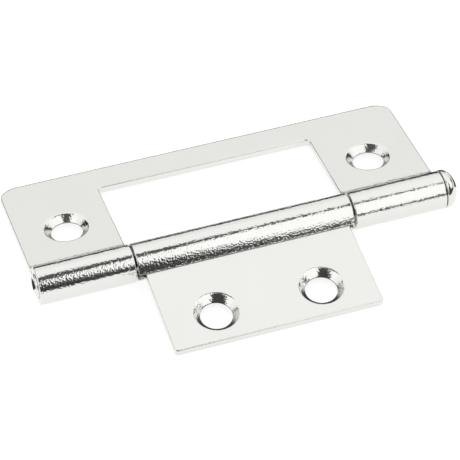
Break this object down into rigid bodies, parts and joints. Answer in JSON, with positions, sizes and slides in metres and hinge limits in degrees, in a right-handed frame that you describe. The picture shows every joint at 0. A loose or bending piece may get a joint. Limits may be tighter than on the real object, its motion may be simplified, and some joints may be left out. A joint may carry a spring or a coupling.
{
  "type": "flush hinge",
  "caption": "Flush hinge lying open: a narrow inner leaf that nests inside the windowed outer leaf when closed, countersunk screw holes, and curled knuckles on a headed pin.",
  "frame": {"origin": "on the pin's axis, at the middle of the hinge's length", "axes": "+X along the pin towards its domed head, +Y from the pin into the level outer leaf, +Z out of the outer leaf's countersunk face"},
  "size_m": [0.0783, 0.049, 0.0089],
  "materials": {
    "outer_leaf": "bright nickel-plated steel sheet",
    "inner_leaf": "bright nickel-plated steel sheet",
    "hinge_pin": "bright nickel-plated steel, domed ends"
  },
  "bodies": {
    "outer": {"outer_leaf": "outer_leaf", "hinge_pin": "hinge_pin"},
    "inner": {"inner_leaf": "inner_leaf"}
  },
  "joints": [
    {"name": "leaf_turn", "type": "hinge", "parent": "outer", "child": "inner", "pos_m": [0, 0, 0], "axis": [-1, 0, 0], "range_deg": [-77.15, 192.85]}
  ]
}
